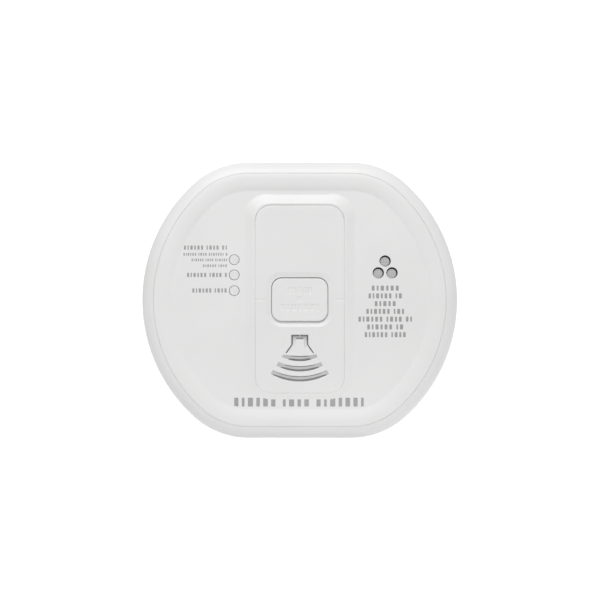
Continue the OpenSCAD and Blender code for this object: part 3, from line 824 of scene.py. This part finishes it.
def colour_between(nodes, links, factor, low, high, at=(0.35, 0.65)):
    """Colour that goes from low to high while the factor goes from at[0] to at[1]."""
    ramp = nodes.new("ShaderNodeValToRGB")
    ramp.color_ramp.elements[0].position, ramp.color_ramp.elements[1].position = at
    ramp.color_ramp.elements[0].color = (*low, 1)
    ramp.color_ramp.elements[1].color = (*high, 1)
    links.new(factor, ramp.inputs["Fac"])
    return ramp.outputs["Color"]


def math_node(nodes, links, operation, *values):
    """One arithmetic node; each value is a socket or a number."""
    node = nodes.new("ShaderNodeMath")
    node.operation = operation
    for socket, value in zip(node.inputs, values):
        if isinstance(value, (int, float)):
            socket.default_value = value
        else:
            links.new(value, socket)
    return node.outputs["Value"]


def value_between(nodes, links, factor, low, high):
    """Value that goes from low to high while the factor goes from 0 to 1."""
    span = nodes.new("ShaderNodeMapRange")
    span.inputs["To Min"].default_value = low
    span.inputs["To Max"].default_value = high
    links.new(factor, span.inputs["Value"])
    return span.outputs["Result"]


def bump(nodes, links, shader, height, strength, distance):
    """Fine relief of the surface, with its distance in metres."""
    node = nodes.new("ShaderNodeBump")
    node.inputs["Strength"].default_value = strength
    node.inputs["Distance"].default_value = distance
    links.new(height, node.inputs["Height"])
    links.new(node.outputs["Normal"], shader.inputs["Normal"])


def moulded(name, colour, roughness=0.42, grain=3500, depth=0.000015, spread=0.012, edge_highlight=0.03):
    """Moulded plastic: fine eroded grain, faint cloudy colour, and convex edges painted a little
    lighter as a highlight.
    The grain is in features per metre, its depth in metres."""
    lighter, uneven = 0.06, 0.05
    material, nodes, links, shader = new_material(name)
    cloud = object_noise(nodes, links, 28, 2)
    low = [max(c - spread, 0) for c in colour]
    high = [min(c + spread, 1) for c in colour]
    base = colour_between(nodes, links, cloud.outputs["Fac"], low, high)
    # Painted highlight: convex edges, found by pointiness, are mixed towards a lighter colour.
    geometry = nodes.new("ShaderNodeNewGeometry")
    edge = nodes.new("ShaderNodeMapRange")
    edge.inputs["From Min"].default_value = 0.52
    edge.inputs["From Max"].default_value = 0.62
    edge.inputs["To Max"].default_value = edge_highlight * 10
    links.new(geometry.outputs["Pointiness"], edge.inputs["Value"])
    mix = nodes.new("ShaderNodeMix")
    mix.data_type = "RGBA"
    mix.inputs["B"].default_value = (*[min(c + lighter, 1) for c in colour], 1)
    links.new(edge.outputs["Result"], mix.inputs["Factor"])
    links.new(base, mix.inputs["A"])
    links.new(mix.outputs["Result"], shader.inputs["Base Color"])
    patch = object_noise(nodes, links, 60, 3)
    links.new(value_between(nodes, links, patch.outputs["Fac"], roughness - uneven,
                            roughness + uneven), shader.inputs["Roughness"])
    fine = object_noise(nodes, links, grain, 2, 0.6)
    bump(nodes, links, shader, fine.outputs["Fac"], 0.5, depth)
    shader.inputs["IOR"].default_value = 1.5
    return material


def metal(name, colour, roughness=0.3, streak=(1.0, 1.0, 14.0)):
    """Brushed or plated metal: fine streaks in roughness and height."""
    material, nodes, links, shader = new_material(name)
    coordinate = nodes.new("ShaderNodeTexCoord")
    stretch = nodes.new("ShaderNodeMapping")
    stretch.inputs["Scale"].default_value = streak
    links.new(coordinate.outputs["Object"], stretch.inputs["Vector"])
    noise = nodes.new("ShaderNodeTexNoise")
    noise.inputs["Scale"].default_value = 900
    noise.inputs["Detail"].default_value = 4
    links.new(stretch.outputs["Vector"], noise.inputs["Vector"])
    low, high = [c * 0.86 for c in colour], [min(c * 1.08, 1) for c in colour]
    links.new(colour_between(nodes, links, noise.outputs["Fac"], low, high),
              shader.inputs["Base Color"])
    links.new(value_between(nodes, links, noise.outputs["Fac"], roughness - 0.08,
                            roughness + 0.12), shader.inputs["Roughness"])
    bump(nodes, links, shader, noise.outputs["Fac"], 0.3, 0.00002)
    shader.inputs["Metallic"].default_value = 1.0
    return material


def woven(name, colour, pitch=0.00045):
    """Fine woven or felted sheet: two crossed waves with dark pores between the threads."""
    spacing_at_scale_one = 0.314
    material, nodes, links, shader = new_material(name)
    coordinate = nodes.new("ShaderNodeTexCoord")
    waves = []
    for direction in ("X", "Z"):
        wave = nodes.new("ShaderNodeTexWave")
        wave.bands_direction = direction
        wave.inputs["Scale"].default_value = spacing_at_scale_one / pitch
        wave.inputs["Distortion"].default_value = 0.4
        links.new(coordinate.outputs["Object"], wave.inputs["Vector"])
        waves.append(wave)
    both = math_node(nodes, links, "MULTIPLY", *[wave.outputs["Fac"] for wave in waves])
    low, high = [c * 0.8 for c in colour], [min(c * 1.12, 1) for c in colour]
    links.new(colour_between(nodes, links, both, low, high, (0.1, 0.6)),
              shader.inputs["Base Color"])
    bump(nodes, links, shader, both, 0.5, 0.00005)
    shader.inputs["Roughness"].default_value = 0.9
    return material


def milky(name, colour):
    """Light-pipe end: milky clear plastic with a polished face."""
    material, nodes, links, shader = new_material(name)
    cloud = object_noise(nodes, links, 180, 2)
    links.new(colour_between(nodes, links, cloud.outputs["Fac"], [c * 0.97 for c in colour],
                             colour), shader.inputs["Base Color"])
    links.new(value_between(nodes, links, cloud.outputs["Fac"], 0.18, 0.26),
              shader.inputs["Roughness"])
    bump(nodes, links, shader, cloud.outputs["Fac"], 0.2, 0.00002)
    shader.inputs["Subsurface Weight"].default_value = 0.25
    shader.inputs["Subsurface Radius"].default_value = (0.001, 0.001, 0.001)
    return material


def laminate(name, colour):
    """Circuit board: solder mask over faint tracks."""
    material, nodes, links, shader = new_material(name)
    coordinate = nodes.new("ShaderNodeTexCoord")
    cells = nodes.new("ShaderNodeTexVoronoi")
    cells.distance = "MANHATTAN"
    cells.feature = "DISTANCE_TO_EDGE"
    cells.inputs["Scale"].default_value = 260
    links.new(coordinate.outputs["Object"], cells.inputs["Vector"])
    low, high = [c * 1.7 for c in colour], colour
    links.new(colour_between(nodes, links, cells.outputs["Distance"], low, high, (0.02, 0.05)),
              shader.inputs["Base Color"])
    bump(nodes, links, shader, cells.outputs["Distance"], 0.3, 0.00003)
    shader.inputs["Roughness"].default_value = 0.3
    shader.inputs["Coat Weight"].default_value = 0.4
    return material


def make_materials():
    """One material for each of the record's slots, and the ink."""
    white = (0.775, 0.775, 0.772)
    return {
        "white_abs": moulded("white_abs", white),
        "white_abs_back": moulded("white_abs_back", (0.74, 0.74, 0.735), 0.5, 2500),
        "clear_acrylic": milky("clear_acrylic", (0.80, 0.80, 0.80)),
        "led_red": milky("led_red", (0.60, 0.05, 0.04)),
        "led_amber": milky("led_amber", (0.80, 0.45, 0.05)),
        "led_green": milky("led_green", (0.06, 0.45, 0.10)),
        "grey_membrane": woven("grey_membrane", (0.52, 0.52, 0.52), 0.0006),
        "grey_mesh": woven("grey_mesh", (0.42, 0.42, 0.42)),
        "black_foam": moulded("black_foam", (0.03, 0.03, 0.03), 0.85, 1800, 0.0001, 0.01, 0),
        "grey_foam": moulded("grey_foam", (0.20, 0.20, 0.21), 0.9, 1500, 0.00015, 0.03, 0),
        "black_plastic": moulded("black_plastic", (0.03, 0.03, 0.03), 0.45),
        "brown_plastic": moulded("brown_plastic", (0.20, 0.09, 0.04), 0.4),
        "chip_black": moulded("chip_black", (0.02, 0.02, 0.02), 0.6, 4000),
        "ferrite": moulded("ferrite", (0.06, 0.06, 0.065), 0.7, 2500, 0.00003),
        "chip_ceramic": moulded("chip_ceramic", (0.48, 0.34, 0.22), 0.55),
        "capacitor_sleeve": moulded("capacitor_sleeve", (0.02, 0.03, 0.12), 0.25),
        "cell_sleeve": moulded("cell_sleeve", (0.05, 0.16, 0.40), 0.28),
        "label_silver": moulded("label_silver", (0.55, 0.55, 0.56), 0.35),
        "sensor_steel": metal("sensor_steel", (0.62, 0.62, 0.61)),
        "nickel": metal("nickel", (0.66, 0.64, 0.60), 0.25),
        "zinc_steel": metal("zinc_steel", (0.60, 0.61, 0.64), 0.32, (6.0, 1.0, 6.0)),
        "contact_metal": metal("contact_metal", (0.80, 0.62, 0.25), 0.25),
        "piezo_brass": metal("piezo_brass", (0.72, 0.52, 0.22), 0.3, (5.0, 1.0, 5.0)),
        "green_laminate": laminate("green_laminate", (0.02, 0.13, 0.05)),
        "ink": moulded("ink", (0.34, 0.34, 0.34), 0.6, 5000, 0.000005, 0.03, 0),
    }


def paint(obj, material):
    """Gives the object this material alone."""
    obj.data.materials.clear()
    obj.data.materials.append(material)
    return obj


# ---------- putting it together ----------

def stand_in(name, mesh, node, body, material, sharp=40):
    """A finished piece that rides on a body, and stands for a CAD node if one is named."""
    obj = paint(make_object(name, mesh, sharp), material)
    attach(obj, body)
    if node:
        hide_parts(node)
    return obj


def build_object(materials):
    """The finished pieces, each on its body and in place of its CAD node. The filter's seat and
    the print are additions."""
    white = materials["white_abs"]
    stand_in("housing_shell", housing_mesh(), "outer_housing", "alarm", white)
    stand_in("cover_face", cover_mesh(), "front_cover", "alarm", white)
    stand_in("panel_face", panel_mesh(), "centre_panel", "alarm", white)
    button = join_meshes("button", [button_mesh(), *button_back()])
    stand_in("button_cap", button, "test_button", "button", white)
    for name, y in LENSES.items():
        stand_in(f"lens_{name}", lens_mesh(y), f"light_pipe_{name}", "alarm",
                 materials["clear_acrylic"])
    stand_in("filter_caps", filter_mesh(), "gas_filter", "alarm",
             materials["grey_membrane"])
    # The seat's black foam is painted shade in the gap beside the filter caps.
    stand_in("filter_seat_painted_shade", filter_seat_mesh(), None, "alarm",
             materials["black_foam"])
    stand_in("face_print", print_mesh(), None, "alarm", materials["ink"], 30)


def finish_cad_nodes(materials):
    """Carried-over CAD nodes get their slot's material and rounded edges."""
    slots = {s["node"]: s["material_slot"] for s in frame["record"]["subparts"]}
    soft_edges = {"mounting_plate": 0.0003, "back_cover": 0.0003, "case_screws": 0.00012,
                  "co_sensor": 0.0003, "sounder_cap": 0.0003, "lithium_cell": 0.0006}
    other_edges = 0.0001
    for name, obj in frame["nodes"].items():
        if obj.hide_render:
            continue
        paint(obj, materials[slots[name]])
        bevel = obj.modifiers.new("edges", "BEVEL")
        bevel.width = soft_edges.get(name, other_edges)
        bevel.segments = 3
        bevel.limit_method = "ANGLE"
        bevel.angle_limit = math.radians(40)
        bevel.harden_normals = False


def make_camera():
    """Long-lens camera a little below the middle, looking straight at the face."""
    distance = CAMERA_DISTANCE
    to_outline = (DEPTH - (CROWN_Z - SHOULDER)) * MM
    frame_width = WIDTH * MM / FILL * distance / (distance + to_outline)
    data = bpy.data.cameras.new("camera")
    data.sensor_width = 36
    data.lens = data.sensor_width / 2 / (frame_width / 2 / distance)
    camera = bpy.data.objects.new("camera", data)
    middle = Vector((0, cad_low.y, HALF_HEIGHT * MM))
    camera.location = middle + Vector((0, -distance, -CAMERA_DROP))
    camera.rotation_euler = (middle - camera.location).to_track_quat("-Z", "Y").to_euler()
    data.shift_x, data.shift_y = CAMERA_SHIFT
    data.clip_start, data.clip_end = 0.01, 50
    bpy.context.scene.collection.objects.link(camera)
    bpy.context.scene.camera = camera


def area_light(name, size, power, location, target):
    """Rectangular light that the camera doesn't see."""
    data = bpy.data.lights.new(name, "AREA")
    data.shape, data.size, data.size_y = "RECTANGLE", size[0], size[1]
    data.energy = power
    light = bpy.data.objects.new(name, data)
    light.location = location
    light.rotation_euler = (Vector(target) - Vector(location)).to_track_quat("-Z", "Y").to_euler()
    light.visible_camera = False
    bpy.context.scene.collection.objects.link(light)


def direction_mix(nodes, links, weights, constant):
    """constant + weights . direction, for a direction in the world."""
    coordinate = nodes.new("ShaderNodeTexCoord")
    dot = nodes.new("ShaderNodeVectorMath")
    dot.operation = "DOT_PRODUCT"
    dot.inputs[1].default_value = weights
    links.new(coordinate.outputs["Generated"], dot.inputs[0])
    return math_node(nodes, links, "ADD", dot.outputs["Value"], constant)


def make_surround():
    """Soft surround that evens out the key light; plain white where the camera sees it."""
    world = bpy.data.worlds.new("surround")
    world.use_nodes = True
    nodes, links = world.node_tree.nodes, world.node_tree.links
    soft = direction_mix(nodes, links, SURROUND_SLOPE, SURROUND_LEVEL)
    seen = nodes.new("ShaderNodeLightPath").outputs["Is Camera Ray"]
    white = math_node(nodes, links, "MULTIPLY", seen, SEEN_WHITE)
    total = math_node(nodes, links, "MAXIMUM", soft, white)
    links.new(total, nodes["Background"].inputs["Strength"])
    nodes["Background"].inputs["Color"].default_value = (1, 1, 1, 1)
    bpy.context.scene.world = world


def make_floor():
    """Plain white floor, lit from within like a light table so that it stays white."""
    reach, glow = 6.0, 0.95
    mesh = bpy.data.meshes.new("floor")
    mesh.from_pydata([(-reach, -reach, 0), (reach, -reach, 0), (reach, reach, 0),
                      (-reach, reach, 0)], [], [(0, 1, 2, 3)])
    floor = bpy.data.objects.new("floor", mesh)
    bpy.context.scene.collection.objects.link(floor)
    material, _, _, shader = new_material("floor")
    shader.inputs["Base Color"].default_value = (0.5, 0.5, 0.5, 1)
    shader.inputs["Roughness"].default_value = 0.9
    shader.inputs["Emission Color"].default_value = (1, 1, 1, 1)
    shader.inputs["Emission Strength"].default_value = glow
    paint(floor, material)
    floor.visible_diffuse = False


def make_lights():
    """Large soft light above and in front, a little to the left, and a faint one on the table
    that looks up past the lower rim."""
    face_middle = (0, cad_low.y, HALF_HEIGHT * MM)
    area_light("top_light", (0.7, 0.5), KEY_POWER, KEY_PLACE, face_middle)
    area_light("table_light", (0.22, 0.05), TABLE_POWER, TABLE_PLACE, (*TABLE_PLACE[:2], 1))
    scene = bpy.context.scene
    scene.view_settings.view_transform = "Standard"
    scene.view_settings.look = "None"


make_camera()
make_surround()
make_floor()
make_lights()
MATERIALS = make_materials()
build_object(MATERIALS)
finish_cad_nodes(MATERIALS)
